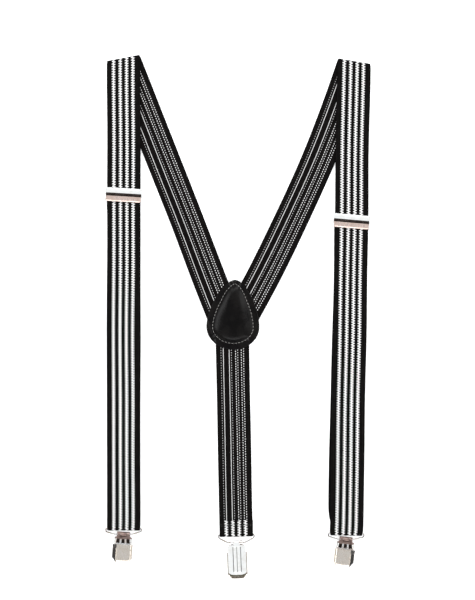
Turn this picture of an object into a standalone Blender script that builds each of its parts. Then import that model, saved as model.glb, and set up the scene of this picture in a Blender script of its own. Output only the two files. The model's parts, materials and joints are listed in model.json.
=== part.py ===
"""Y-back clip-on suspenders, laid flat with the shoulder straps folded over at the top.

Frame: metres, +Z up from the table, +Y from the clips to the shoulder folds, +X to the right
as seen from above. The origin is on the table, under the middle of the object's box.
"""

import math

import bmesh
import bpy
from mathutils import Matrix, Vector
from mathutils.geometry import interpolate_bezier

# ---- Driving dimensions, in millimetres -------------------------------------------------

MM = 0.001
GAP = 0.2  # clearance between pieces that lie on each other

WEBBING_WIDTH = 34.6
WEBBING = 1.2  # thickness of the elastic webbing

WIRE = 0.85  # radius of the wire rings
SHEET = 0.7  # thickness of the stamped steel
WRAP = WIRE + 0.3 + WEBBING / 2  # from a ring's bar to the middle of the webbing round it
EYE = WIRE + 0.7 + SHEET / 2  # from a ring's bar to the middle of the clip's loose eye

TABLE_LAYER = 0.8  # height of the middle of webbing that lies on the table
FRONT_RING_Z = TABLE_LAYER + WRAP
ADJUSTER_LAYER = 4.5  # height of the webbing where it runs through an adjuster
FOLD_LAYER = 3.0  # height of the upper layer at a shoulder fold

LAYOUT_MIDDLE = Vector((0.9, 271.8, 0))  # middle of the layout below, which becomes the origin
SHOULDER = {
    "left": {"ring": (-117.5, 52.8), "fold": (-117.2, 538.6), "patch": (-9.5, 262.5),
             "bend": 0.0, "layer": 4.3, "adjuster": 345.0},
    "right": {"ring": (113.0, 47.6), "fold": (121.2, 535.2), "patch": (-1.0, 262.0),
              "bend": 5.8, "layer": 5.8, "adjuster": 323.0},
}  # bend is in degrees, layer is the height at the patch, adjuster is its distance from the ring
BACK_STRAP = {"ring": (-0.7, 46.6), "top": (-5.2, 262.0), "layer": 2.8, "hem": 14.5}
BACK_RING_Z = 4.2
BACK_CLIP_Z = 6.75
PATCH = {"middle": (-4.3, 261.5), "tilt": -3.0, "half_width": 27.5, "above": 49.0, "below": 23.5,
         "leather": 1.3}

RING = {"wide": 18.45, "narrow": 9.0, "shoulder": 3.4, "corner": 1.4}
ADJUSTER = {"width": 38.4, "height": 14.2, "bar": 5.2, "steel": 0.7,
            "pin": 0.55, "pin_y": 0.5, "pin_z": 6.1, "top": 7.1, "bar_z": 1.95}
ADJUSTER_TILT = {"left": -3.4, "right": -4.0}

CLIP = {"width": 18.6, "jaw_width": 16.4, "eye_width": 5.6, "knuckle_end": 6.1, "lever_width": 20.8,
        "pin_y": -10.8, "pin_z": 3.9, "pin": 0.6, "ear": 1.2, "lever_rise": 2.1}
CLIPS = {
    "left": {"ring_drop": 6.0, "leaf": 26.5, "lever": 29.2, "turn": -4.0, "ribs": 0.3},
    "right": {"ring_drop": 6.0, "leaf": 26.0, "lever": 28.6, "turn": -5.5, "ribs": 0.3},
    "back": {"ring_drop": 8.5, "leaf": 33.0, "lever": 38.0, "turn": 1.0, "ribs": 0.6},
}

BLACK_WEB = ("black_webbing", (0.012, 0.012, 0.013), 0.8, 0.0)
BLACK_LEATHER = ("black_leather", (0.010, 0.010, 0.011), 0.35, 0.0)
NICKEL = ("nickel_steel", (0.78, 0.77, 0.75), 0.22, 1.0)
DARK_PAD = ("dark_pad", (0.05, 0.045, 0.03), 0.6, 0.0)

UP = Vector((0, 0, 1))


# ---- Helpers ----------------------------------------------------------------------------

def clear_scene():
    for obj in list(bpy.data.objects):
        bpy.data.objects.remove(obj, do_unlink=True)


def new_collection(name, shown=True):
    collection = bpy.data.collections.new(name)
    bpy.context.scene.collection.children.link(collection)
    collection.hide_render = not shown
    return collection


def material(spec):
    name, colour, roughness, metallic = spec
    found = bpy.data.materials.get(name)
    if found:
        return found
    made = bpy.data.materials.new(name)
    made.use_nodes = True
    shader = made.node_tree.nodes["Principled BSDF"]
    shader.inputs["Base Color"].default_value = (*colour, 1)
    shader.inputs["Roughness"].default_value = roughness
    shader.inputs["Metallic"].default_value = metallic
    return made


def add_object(name, bm, spec=None, place=None):
    """An object from a bmesh in millimetres, moved by place and put in its collection."""
    bm.transform(Matrix.Scale(MM, 4) @ (place or Matrix.Identity(4)))
    bmesh.ops.recalc_face_normals(bm, faces=bm.faces)
    mesh = bpy.data.meshes.new(name)
    bm.to_mesh(mesh)
    bm.free()
    obj = bpy.data.objects.new(name, mesh)
    if spec:
        mesh.materials.append(material(spec))
        parts.objects.link(obj)
    else:
        obj.hide_render = True
        obj.display_type = "WIRE"
        cutters.objects.link(obj)
    return obj


def block(low, high):
    """A box between two corners."""
    bm = bmesh.new()
    low, high = Vector(low), Vector(high)
    size = Matrix.Diagonal((*(high - low), 1))
    bmesh.ops.create_cube(bm, size=1, matrix=Matrix.Translation((low + high) / 2) @ size)
    return bm


def rod(radius, half_length, y, z, x=0.0, segments=12):
    """A cylinder along X round (x, y, z)."""
    bm = bmesh.new()
    turn = Matrix.Translation((x, y, z)) @ Matrix.Rotation(math.pi / 2, 4, "Y")
    bmesh.ops.create_cone(bm, cap_ends=True, segments=segments, radius1=radius, radius2=radius,
                          depth=2 * half_length, matrix=turn)
    return bm


def sheet(rows):
    """An open surface through rows of points, made from a grid."""
    bm = bmesh.new()
    across, along = len(rows[0]) - 1, len(rows) - 1
    bmesh.ops.create_grid(bm, x_segments=across, y_segments=along, size=0.5)
    for vertex in bm.verts:
        row = rows[round((vertex.co.y + 0.5) * along)]
        vertex.co = row[round((vertex.co.x + 0.5) * across)]
    return bm


def thicken(obj, thickness):
    """Solid walls, half of the thickness on each side of the surface."""
    solid = obj.modifiers.new("thickness", "SOLIDIFY")
    solid.thickness = thickness * MM
    solid.offset = 0
    solid.use_even_offset = True
    return obj


def combine(obj, pieces, operation):
    """A Boolean of obj with each piece in turn."""
    for piece in pieces:
        change = obj.modifiers.new(operation.lower(), "BOOLEAN")
        change.operation = operation
        change.object = piece
    return obj


def arc(centre, radius, start, end, steps):
    """Points in the YZ plane round centre (y, z), with angles in degrees from +Y to +Z."""
    turns = [math.radians(start + (end - start) * i / steps) for i in range(steps + 1)]
    return [(centre[0] + radius * math.cos(a), centre[1] + radius * math.sin(a)) for a in turns]


def strip(path, low_x, high_x):
    """An open sheet that follows (y, z) points and runs from low_x to high_x."""
    return sheet([[Vector((low_x, y, z)), Vector((high_x, y, z))] for y, z in path])


def ease(t):
    t = min(1.0, max(0.0, t))
    return t * t * (3 - 2 * t)


# ---- Webbing ----------------------------------------------------------------------------
# A band is a list of rows (centre, across): across is the vector from its middle to its
# right-hand edge, measured along the row.

def band(name, rows, spec=BLACK_WEB):
    points = [[centre - across, centre + across] for centre, across in rows]
    return thicken(add_object(name, sheet(points), spec, LAYOUT), WEBBING)


def leg(start, end, across_start, across_end, heights, steps):
    """Rows along a straight leg. heights are (distance from start, height) pairs."""
    length = (end - start).length
    rows = []
    for i in range(steps + 1):
        s = length * i / steps
        rows.append((level(start.lerp(end, s / length), height_at(heights, s)),
                     across_start.lerp(across_end, s / length)))
    return rows


def level(point, z):
    return Vector((point.x, point.y, z))


def height_at(heights, s):
    for (s0, z0), (s1, z1) in zip(heights, heights[1:]):
        if s <= s1:
            return z0 + (z1 - z0) * ease((s - s0) / (s1 - s0))
    return heights[-1][1]


def turn_round(centre, outward, across, radius, start, end, steps):
    """Rows round a bar. Angles are in degrees, from outward (0) up towards +Z (90)."""
    rows = []
    for i in range(steps + 1):
        a = math.radians(start + (end - start) * i / steps)
        rows.append((centre + outward * radius * math.cos(a) + UP * radius * math.sin(a), across))
    return rows


def bent_leg(start, end, bend, across_start, heights, steps):
    """Rows along a leg that bends sideways by twice bend, in degrees, between its ends."""
    chord = end - start
    reach = chord.length / 3
    first = start + (Matrix.Rotation(math.radians(bend), 3, "Z") @ chord).normalized() * reach
    last = end - (Matrix.Rotation(math.radians(-bend), 3, "Z") @ chord).normalized() * reach
    middle = interpolate_bezier(start, first, last, end, steps + 1)
    rows, s = [], 0.0
    for i, point in enumerate(middle):
        before, after = middle[max(i - 1, 0)], middle[min(i + 1, steps)]
        if i:
            s += (point - before).length
        ahead = (after - before).normalized()
        square = ahead.cross(UP) * WEBBING_WIDTH / 2
        if square.dot(across_start) < 0:
            square.negate()
        rows.append((level(point, height_at(heights, s)), across_start.lerp(square, ease(4 * i / steps))))
    return rows


def shoulder_strap(side):
    """One webbing: round the ring, up the front, over the shoulder fold and down to the patch."""
    at = SHOULDER[side]
    ring, fold, patch = (Vector((*at[key], 0)) for key in ("ring", "fold", "patch"))
    up_front = (fold - ring).normalized()
    first_down = Matrix.Rotation(math.radians(at["bend"]), 3, "Z") @ (patch - fold).normalized()
    outward = (up_front - first_down).normalized()
    along_fold = outward.cross(UP)
    square = up_front.cross(UP) * WEBBING_WIDTH / 2
    slanted = along_fold * square.length / along_fold.dot(square.normalized())

    ring_top = level(ring, FRONT_RING_Z)
    rows = [(ring_top + up_front * 4 - UP * WRAP, square)]
    rows += turn_round(ring_top, -up_front, square, WRAP, -90, 90, 8)
    front = [(0, FRONT_RING_Z + WRAP), (30, ADJUSTER_LAYER), (at["adjuster"] + 12, ADJUSTER_LAYER),
             (at["adjuster"] + 75, FOLD_LAYER)]
    rows += leg(ring, fold, square, slanted, front, 32)[1:]
    fold_radius = (FOLD_LAYER - TABLE_LAYER) / 2
    centre = level(fold, TABLE_LAYER + fold_radius)
    rows += turn_round(centre, outward, slanted, fold_radius, 90, -90, 8)[1:]
    length = (patch - fold).length
    behind = [(length - 105, TABLE_LAYER), (length - 40, at["layer"])]
    rows += bent_leg(fold, patch, at["bend"], slanted, behind, 22)[1:]
    return band(f"{side}_strap", rows)


def strap_tail(side):
    """The end of the same webbing: from the ring back up behind the front layer to the adjuster."""
    at = SHOULDER[side]
    ring, fold = (Vector((*at[key], 0)) for key in ("ring", "fold"))
    up_front = (fold - ring).normalized()
    square = up_front.cross(UP) * WEBBING_WIDTH / 2
    bar = level(ring + up_front * at["adjuster"], ADJUSTER["bar_z"])
    radius = ADJUSTER["steel"] / 2 + GAP + WEBBING / 2
    lap = 15.0
    rows = leg(ring + up_front * 4.4, bar - UP * bar.z, square, square,
               [(0, FRONT_RING_Z - WRAP), (40, bar.z - radius)], 20)
    rows += turn_round(bar + up_front * 1.4, up_front, square, radius, -90, 90, 6)
    rows.append((bar - up_front * lap + UP * radius, square))
    return band(f"{side}_strap_tail", rows)


def back_strap():
    """The single back webbing: from the patch down, under the ring's bar and up into a sewn hem."""
    ring, top = Vector((*BACK_STRAP["ring"], 0)), Vector((*BACK_STRAP["top"], 0))
    down = (ring - top).normalized()
    square = UP.cross(down) * WEBBING_WIDTH / 2
    length = (ring - top).length
    under = BACK_RING_Z - WRAP
    heights = [(35, BACK_STRAP["layer"]), (100, TABLE_LAYER), (length - 60, TABLE_LAYER), (length, under)]
    rows = leg(top, ring, square, square, heights, 26)
    rows += turn_round(level(ring, BACK_RING_Z), down, square, WRAP, -90, 90, 8)[1:]
    hem_top = level(ring - down * BACK_STRAP["hem"], under + WEBBING + GAP)
    half_way = level(ring - down * 6, BACK_RING_Z + 0.3)
    rows += [(half_way, square), (hem_top, square)]
    return band("back_strap", rows)


# ---- Leather patch ----------------------------------------------------------------------

def teardrop(steps=14):
    """The right half's outline from the bottom to the apex, then mirrored."""
    half = []
    for i in range(steps + 1):
        a = -math.pi / 2 + math.pi / 2 * i / steps
        half.append((PATCH["half_width"] * math.cos(a), PATCH["below"] * math.sin(a)))
    for i in range(1, steps + 1):
        h = math.sin(math.pi / 2 * i / steps)
        half.append((PATCH["half_width"] * (1 - min(h, 1.0) ** 1.6) ** 0.62, PATCH["above"] * h))
    return half[:-1] + [(0.0, PATCH["above"])] + [(-x, y) for x, y in half[-2:0:-1]]


def patch_piece(name, low, spec=BLACK_LEATHER):
    curve = bpy.data.curves.new(name, "CURVE")
    curve.dimensions = "2D"
    curve.fill_mode = "BOTH"
    curve.extrude = PATCH["leather"] / 2 * MM
    outline = teardrop()
    spline = curve.splines.new("POLY")
    spline.points.add(len(outline) - 1)
    for point, (x, y) in zip(spline.points, outline):
        point.co = (x * MM, y * MM, 0, 1)
    spline.use_cyclic_u = True
    obj = bpy.data.objects.new(name, curve)
    obj.data.materials.append(material(spec))
    middle = Vector((*PATCH["middle"], low + PATCH["leather"] / 2)) - LAYOUT_MIDDLE
    obj.location = middle * MM
    obj.rotation_euler.z = math.radians(PATCH["tilt"])
    parts.objects.link(obj)
    return obj


# ---- Adjusters --------------------------------------------------------------------------

def adjuster(side):
    at = SHOULDER[side]
    ring, fold = (Vector((*at[key], 0)) for key in ("ring", "fold"))
    up_front = (fold - ring).normalized()
    heading = math.atan2(up_front.y, up_front.x) - math.pi / 2
    middle = ring + up_front * at["adjuster"]
    place = LAYOUT @ Matrix.Translation(middle) @ Matrix.Rotation(
        heading + math.radians(ADJUSTER_TILT[side]), 4, "Z")
    half, tall, steel = ADJUSTER["width"] / 2, ADJUSTER["height"] / 2, ADJUSTER["steel"]
    name, bar_z = f"{side}_adjuster", ADJUSTER["bar_z"]
    pin_y, pin_z = ADJUSTER["pin_y"], ADJUSTER["pin_z"]
    front = ADJUSTER_LAYER + WEBBING / 2 + 2 * GAP

    frame = add_object(f"{name}_frame", block((-half + 0.4, tall - ADJUSTER["bar"], front),
                                              (half - 0.4, tall, front + steel)), NICKEL, place)
    pieces = [add_object(f"{name}_back_bar", block((-half + 0.4, -2.8, bar_z - steel / 2),
                                                   (half - 0.4, 0.2, bar_z + steel / 2)), None, place)]
    for n, x in enumerate((-half, half - 0.8)):
        cheek = block((x, -tall, bar_z - steel / 2 + 0.1), (x + 0.8, tall - 0.3, ADJUSTER["top"]))
        pieces.append(add_object(f"{name}_cheek_{n}", cheek, None, place))
    hole = add_object(f"{name}_hole", rod(ADJUSTER["pin"] + 0.25, half + 2, pin_y, pin_z), None, place)
    combine(frame, pieces, "UNION")
    combine(frame, [hole], "DIFFERENCE")

    lever = add_object(f"{name}_lever", block((-half + 1.2, -tall + 0.2, pin_z - 0.2),
                                              (half - 1.2, pin_y, pin_z + 0.5)), NICKEL, place)
    pin = add_object(f"{name}_trunnion", rod(ADJUSTER["pin"], half, pin_y, pin_z), None, place)
    combine(lever, [pin], "UNION")


# ---- Rings and clips --------------------------------------------------------------------

def ring_outline(drop):
    """A closed wire loop: the wide bar on the X axis, the narrow one drop below it."""
    right = [Vector((RING["wide"], 0)), Vector((RING["wide"], -RING["shoulder"])),
             Vector((RING["narrow"], -drop))]
    corners = right + [Vector((-corner.x, corner.y)) for corner in reversed(right)]
    points = []
    for i, corner in enumerate(corners):
        to_last = (corners[i - 1] - corner).normalized() * RING["corner"]
        to_next = (corners[(i + 1) % 6] - corner).normalized() * RING["corner"]
        for step in range(5):
            t = step / 4
            points.append(corner + to_last * (1 - t) ** 2 + to_next * t ** 2)
    return points


def wire_ring(name, drop, place):
    curve = bpy.data.curves.new(name, "CURVE")
    curve.dimensions = "3D"
    curve.bevel_depth = WIRE * MM
    curve.bevel_resolution = 2
    outline = ring_outline(drop)
    spline = curve.splines.new("POLY")
    spline.points.add(len(outline) - 1)
    for point, corner in zip(spline.points, outline):
        point.co = (*(place @ corner.to_3d() * MM), 1)
    spline.use_cyclic_u = True
    obj = bpy.data.objects.new(name, curve)
    obj.data.materials.append(material(NICKEL))
    parts.objects.link(obj)
    return obj


def clip(side, place):
    """A flip-lever clip: origin on the ring's lower bar, jaws towards -Y, lever on +Z."""
    at, name = CLIPS[side], f"{side}_clip"
    half, jaw, eye = CLIP["width"] / 2, CLIP["jaw_width"] / 2, CLIP["eye_width"] / 2
    leaf, pin_y, pin_z = at["leaf"], CLIP["pin_y"], CLIP["pin_z"]
    low, high = -EYE - SHEET / 2, -EYE + SHEET / 2

    back = add_object(f"{name}_back_plate", block((-half, -leaf, low), (half, -2.6, high)), NICKEL, place)
    joined = [thicken(add_object(f"{name}_back_eye", strip(
        [(-4.0, -EYE)] + arc((0, 0), EYE, -90, 150, 12), -eye, eye), None, place), SHEET - 0.1)]
    for n, x in enumerate((-half - 0.02, half - SHEET + 0.02)):
        joined.append(add_object(f"{name}_ear_{n}", block(
            (x, pin_y - CLIP["ear"], low + 0.1), (x + SHEET, pin_y + CLIP["ear"], pin_z)), None, place))
        joined.append(add_object(f"{name}_ear_top_{n}", rod(
            CLIP["ear"] + 0.02, SHEET / 2 + 0.05, pin_y, pin_z, x + SHEET / 2), None, place))
    for n, x in enumerate((-2.6, 1.0)):
        joined.append(add_object(f"{name}_rib_{n}", block(
            (x, -leaf + 3, low - at["ribs"]), (x + 1.6, -5.0, high - 0.2)), None, place))
    combine(back, joined, "UNION")
    pin_hole = add_object(f"{name}_pin_hole", rod(CLIP["pin"] + 0.25, half + 4, pin_y, pin_z), None, place)
    combine(back, [pin_hole], "DIFFERENCE")

    front = add_object(f"{name}_front_jaw", block((-jaw, -leaf, -high), (jaw, -2.6, -low)), NICKEL, place)
    knuckle = CLIP["knuckle_end"] - eye - GAP * 2
    knuckles = [thicken(add_object(f"{name}_knuckle_{n}", strip(
        [(-4.0, EYE)] + arc((0, 0), EYE, 90, -150, 12), x, x + knuckle), None, place), SHEET - 0.1)
        for n, x in enumerate((-CLIP["knuckle_end"], eye + GAP * 2))]
    windows = [add_object(f"{name}_window_{n}", block((x - 1.8, -9.4, 0), (x + 1.8, -4.8, 6)), None, place)
               for n, x in enumerate((-5.4, 0, 5.4))]
    combine(front, knuckles, "UNION")
    combine(front, windows, "DIFFERENCE")

    pad_end = -leaf + 0.6
    add_object(f"{name}_back_pad", block((-jaw + 0.6, pad_end, high + GAP),
                                         (jaw - 0.6, pad_end + 7.5, -0.15)), DARK_PAD, place)
    add_object(f"{name}_front_pad", block((-jaw + 0.6, pad_end, 0.15),
                                          (jaw - 0.6, pad_end + 7.5, -high - GAP)), DARK_PAD, place)
    add_object(f"{name}_pin", rod(CLIP["pin"], CLIP["lever_width"] / 2 + 0.2, pin_y, pin_z), NICKEL, place)
    clip_lever(name, at["lever"], place, pin_hole)


def clip_lever(name, reach, place, pin_hole):
    """The cover that flips up: a channel with sloping shoulders, and a cam bar beside the pin."""
    edge, pin_y, pin_z = (CLIP["lever_width"] - SHEET) / 2, CLIP["pin_y"], CLIP["pin_z"]
    top = pin_z + CLIP["lever_rise"] + SHEET / 2
    section = [(-edge, -0.4), (-edge, top - 1.3), (-edge + 1.6, top), (edge - 1.6, top),
               (edge, top - 1.3), (edge, -0.4)]
    ends = (pin_y + 0.5, -reach)
    lever = thicken(add_object(f"{name}_lever", sheet(
        [[Vector((x, y, z)) for y in ends] for x, z in section]), NICKEL, place), SHEET)
    cam = add_object(f"{name}_cam", block((-edge + 2.6, pin_y - 2.2, pin_z - 1.4),
                                          (edge - 2.6, pin_y - 1.15, top)), None, place)
    combine(lever, [cam], "UNION")
    combine(lever, [pin_hole], "DIFFERENCE")


def ring_and_clip(side, bar, heading, tip, clip_up=True):
    """bar is the middle of the ring's wide bar, heading turns -Y to the strap's direction."""
    at = CLIPS[side]
    ring_place = LAYOUT @ Matrix.Translation(bar) @ Matrix.Rotation(heading, 4, "Z") @ Matrix.Rotation(
        math.radians(tip), 4, "X")
    wire_ring(f"{side}_ring", at["ring_drop"], ring_place)
    eye = ring_place @ Vector((0, -at["ring_drop"], 0))
    clip_place = Matrix.Translation(eye) @ Matrix.Rotation(heading + math.radians(at["turn"]), 4, "Z")
    if not clip_up:
        clip_place = clip_place @ Matrix.Rotation(math.pi, 4, "Y")
    clip(side, clip_place)


def heading_of(direction):
    return math.atan2(direction.y, direction.x) - math.pi / 2


# ---- The object -------------------------------------------------------------------------

clear_scene()
parts = new_collection("suspenders")
cutters = new_collection("cutters", shown=False)
LAYOUT = Matrix.Translation(-LAYOUT_MIDDLE)

for strap_side in ("left", "right"):
    shoulder_strap(strap_side)
    strap_tail(strap_side)
    adjuster(strap_side)
    ring_at, fold_at = (Vector((*SHOULDER[strap_side][key], 0)) for key in ("ring", "fold"))
    ring_and_clip(strap_side, level(ring_at, FRONT_RING_Z), heading_of(fold_at - ring_at), 0)

back_strap()
ring_at, top_at = Vector((*BACK_STRAP["ring"], 0)), Vector((*BACK_STRAP["top"], 0))
ring_tip = -math.degrees(math.asin((BACK_CLIP_Z - BACK_RING_Z) / CLIPS["back"]["ring_drop"]))
ring_and_clip("back", level(ring_at, BACK_RING_Z), heading_of(top_at - ring_at), ring_tip, clip_up=False)
patch_piece("outer_patch", 0.0)
patch_piece("inner_patch", 6.65)
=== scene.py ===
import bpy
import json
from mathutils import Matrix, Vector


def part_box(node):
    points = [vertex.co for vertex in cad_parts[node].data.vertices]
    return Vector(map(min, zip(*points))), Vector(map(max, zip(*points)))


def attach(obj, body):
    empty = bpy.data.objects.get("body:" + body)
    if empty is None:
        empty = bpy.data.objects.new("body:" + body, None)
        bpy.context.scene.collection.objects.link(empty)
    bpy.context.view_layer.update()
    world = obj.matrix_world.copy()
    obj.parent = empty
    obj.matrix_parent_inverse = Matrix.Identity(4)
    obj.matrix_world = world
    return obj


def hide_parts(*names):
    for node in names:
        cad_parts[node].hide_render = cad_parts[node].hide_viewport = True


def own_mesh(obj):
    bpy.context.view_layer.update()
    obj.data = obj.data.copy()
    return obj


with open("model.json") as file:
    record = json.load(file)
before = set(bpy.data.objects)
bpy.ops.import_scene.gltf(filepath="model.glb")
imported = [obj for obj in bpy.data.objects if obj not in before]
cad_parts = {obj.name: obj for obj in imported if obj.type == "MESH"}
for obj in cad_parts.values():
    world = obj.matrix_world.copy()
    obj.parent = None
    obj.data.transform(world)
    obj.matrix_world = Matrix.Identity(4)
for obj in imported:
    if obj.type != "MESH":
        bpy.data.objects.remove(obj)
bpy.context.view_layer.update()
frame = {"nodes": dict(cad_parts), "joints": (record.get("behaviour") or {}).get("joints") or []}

import json
import math

import bmesh
import bpy
from mathutils import Matrix, Vector
from mathutils.geometry import interpolate_bezier

mm = 0.001
up = Vector((0, 0, 1))
joints = {joint["name"]: joint for joint in frame["joints"]}
print("frame loaded:", len(frame["nodes"]), "nodes")


# camera, floor and light: the object lies flat and is seen from straight above

studio = {
    "aim": (-0.0004, 0.0175),
    "viewHeight": 0.622,
    "cameraHeight": 2.6,
    "floorSize": 6.0,
    "floorGlow": 0.45,
    "worldColor": (0.93, 0.95, 1.0),
    "worldStrength": 0.50,
    "softboxes": (  # name, place, size, watts
        ("softboxLeft", (-0.95, 0.1, 0.95), (1.3, 0.7), 11.5),
        ("softboxRight", (0.95, 0.1, 0.95), (1.3, 0.7), 11.5),
        ("softboxTop", (0.0, 1.15, 0.95), (1.3, 0.7), 11.5),
        ("softboxBottom", (0.0, -1.1, 0.95), (1.3, 0.6), 8.5),
    ),
    "flags": (  # side, direction across, distance, radiance: cards that only the metal mirrors
        ("left", -1, 0.33, 0.02), ("left", 1, 0.30, 0.50),
        ("right", 1, 0.33, 0.05), ("right", -1, 0.30, 0.50),
    ),
}


def makeStudio():
    scene = bpy.context.scene
    scene.view_settings.view_transform = "Standard"
    lens = bpy.data.cameras.new("cameraTop")
    lens.sensor_fit = "VERTICAL"
    lens.sensor_height = 24
    lens.lens = lens.sensor_height * studio["cameraHeight"] / studio["viewHeight"]
    lens.clip_end = 20
    camera = bpy.data.objects.new("cameraTop", lens)
    camera.location = (*studio["aim"], studio["cameraHeight"])
    scene.collection.objects.link(camera)
    scene.camera = camera

    world = bpy.data.worlds.new("studioWorld")
    world.use_nodes = True
    sky = world.node_tree.nodes["Background"]
    sky.inputs["Color"].default_value = (*studio["worldColor"], 1)
    sky.inputs["Strength"].default_value = studio["worldStrength"]
    scene.world = world

    for name, place, size, watts in studio["softboxes"]:
        lamp = bpy.data.lights.new(name, "AREA")
        lamp.shape = "RECTANGLE"
        lamp.size, lamp.size_y = size
        lamp.energy = watts
        softbox = bpy.data.objects.new(name, lamp)
        softbox.location = place
        softbox.rotation_euler = (-Vector(place)).to_track_quat("-Z", "Y").to_euler()
        softbox.visible_camera = False
        scene.collection.objects.link(softbox)

    bm = bmesh.new()
    bmesh.ops.create_grid(bm, x_segments=1, y_segments=1, size=studio["floorSize"] / 2)
    pale = plainMaterial("paleFloor", (0.93, 0.93, 0.93), 0.9)
    glow = pale.node_tree.nodes["Principled BSDF"].inputs
    glow["Emission Color"].default_value = (1, 1, 1, 1)
    glow["Emission Strength"].default_value = studio["floorGlow"]
    floor = stagePiece("floor", bm, pale)
    floor.location.z = -0.0003


def plainMaterial(name, color, roughness):
    made = bpy.data.materials.new(name)
    made.use_nodes = True
    shader = made.node_tree.nodes["Principled BSDF"]
    shader.inputs["Base Color"].default_value = (*color, 1)
    shader.inputs["Roughness"].default_value = roughness
    shader.inputs["Specular IOR Level"].default_value = 0.1
    return made


def stagePiece(name, bm, made):
    mesh = bpy.data.meshes.new(name)
    bm.to_mesh(mesh)
    bm.free()
    mesh.materials.append(made)
    thing = bpy.data.objects.new(name, mesh)
    bpy.context.scene.collection.objects.link(thing)
    return thing


def makeFlags():
    for side, sign, distance, radiance in studio["flags"]:
        pin = joints[f"{side}_clip_lever_flip"]["pos_m"]
        card = plainMaterial(f"card_{radiance}", (0.01, 0.01, 0.01), 0.9)
        glow = card.node_tree.nodes["Principled BSDF"].inputs
        glow["Emission Color"].default_value = (1.0, 0.93, 0.86, 1)
        glow["Emission Strength"].default_value = radiance
        bm = bmesh.new()
        bmesh.ops.create_grid(bm, x_segments=1, y_segments=1, size=0.5)
        bmesh.ops.scale(bm, verts=bm.verts, vec=(0.22, 0.34, 1))
        bmesh.ops.rotate(bm, verts=bm.verts, matrix=Matrix.Rotation(math.pi / 2, 3, "Y"))
        flag = stagePiece(f"flag_{side}_{sign}", bm, card)
        flag.location = (pin[0] + sign * distance, pin[1], 0.19)
        flag.visible_camera = False
        flag.visible_diffuse = False
        flag.visible_shadow = False


makeStudio()
makeFlags()
print("studio ready")


# shader node helpers

def newGroup(name, inputs, outputs):
    group = bpy.data.node_groups.new(name, "ShaderNodeTree")
    for label, kind, value in inputs:
        group.interface.new_socket(name=label, in_out="INPUT", socket_type=kind).default_value = value
    for label, kind in outputs:
        group.interface.new_socket(name=label, in_out="OUTPUT", socket_type=kind)
    return group, group.nodes.new("NodeGroupInput").outputs, group.nodes.new("NodeGroupOutput").inputs


def feed(tree, socket, value):
    if isinstance(value, bpy.types.NodeSocket):
        tree.links.new(value, socket)
    else:
        socket.default_value = value


def calc(tree, operation, *values):
    node = tree.nodes.new("ShaderNodeMath")
    node.operation = operation
    for socket, value in zip(node.inputs, values):
        feed(tree, socket, value)
    return node.outputs[0]


def mixColor(tree, factor, first, second, blend="MIX"):
    node = tree.nodes.new("ShaderNodeMix")
    node.data_type = "RGBA"
    node.blend_type = blend
    feed(tree, node.inputs["Factor"], factor)
    feed(tree, node.inputs["A"], first)
    feed(tree, node.inputs["B"], second)
    return node.outputs["Result"]


def softStep(tree, value, low, high, outLow=0.0, outHigh=1.0):
    node = tree.nodes.new("ShaderNodeMapRange")
    node.interpolation_type = "SMOOTHSTEP"
    for label, amount in (("Value", value), ("From Min", low), ("From Max", high),
                          ("To Min", outLow), ("To Max", outHigh)):
        feed(tree, node.inputs[label], amount)
    return node.outputs["Result"]


def noise(tree, vector, scale, detail=2.0, roughness=0.5):
    node = tree.nodes.new("ShaderNodeTexNoise")
    feed(tree, node.inputs["Vector"], vector)
    feed(tree, node.inputs["Scale"], scale)
    feed(tree, node.inputs["Detail"], detail)
    feed(tree, node.inputs["Roughness"], roughness)
    return node.outputs["Fac"]


def stretched(tree, vector, scale):
    node = tree.nodes.new("ShaderNodeMapping")
    feed(tree, node.inputs["Vector"], vector)
    node.inputs["Scale"].default_value = scale
    return node.outputs["Vector"]


def objectPlace(tree):
    return tree.nodes.new("ShaderNodeTexCoord").outputs["Object"]


def bump(tree, height, distance, strength=1.0):
    node = tree.nodes.new("ShaderNodeBump")
    node.inputs["Strength"].default_value = strength
    node.inputs["Distance"].default_value = distance
    tree.links.new(height, node.inputs["Height"])
    return node.outputs["Normal"]


def useGroup(tree, group, **values):
    node = tree.nodes.new("ShaderNodeGroup")
    node.node_tree = group
    for label, value in values.items():
        feed(tree, node.inputs[label], value)
    return node.outputs


def newMaterial(name, **fixed):
    made = bpy.data.materials.new(name)
    made.use_nodes = True
    tree = made.node_tree
    shader = tree.nodes["Principled BSDF"]
    for label, value in fixed.items():
        shader.inputs[label.replace("_", " ")].default_value = value
    return made, tree, shader.inputs


# webbing finishes: u runs across the webbing from 0 to 1, v along it in metres

webbing = {
    "width": 34.6 * mm,
    "thickness": 1.2 * mm,
    "pick": 2.6 * mm,  # length of one pick of the weave
    "warp": 0.86 * mm,
    "black": (0.0006, 0.0005, 0.0005, 1),
    "blackLight": (0.0085, 0.0072, 0.0066, 1),
    "white": (0.70, 0.70, 0.69, 1),
    "whiteShade": (0.40, 0.39, 0.38, 1),
    "stripes": (0.204, 0.402, 0.592, 0.780),  # middles of the white stripes on the face
    "stripeHalf": 0.0335,
    "serration": 0.019,
    # thin lines on the reverse: middle, half width, share of a pick that is thread, phase, brightness
    "lines": ((0.152, 0.0090, 0.40, 0.0, 0.55), (0.222, 0.0085, 1.00, 0.5, 0.95),
              (0.396, 0.0085, 1.00, 0.5, 0.95), (0.462, 0.0090, 0.40, 0.0, 0.60),
              (0.588, 0.0105, 0.55, 0.5, 1.00), (0.652, 0.0100, 0.42, 0.0, 0.85),
              (0.758, 0.0110, 0.46, 0.0, 1.00), (0.826, 0.0110, 0.46, 0.5, 1.00)),
}


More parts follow.
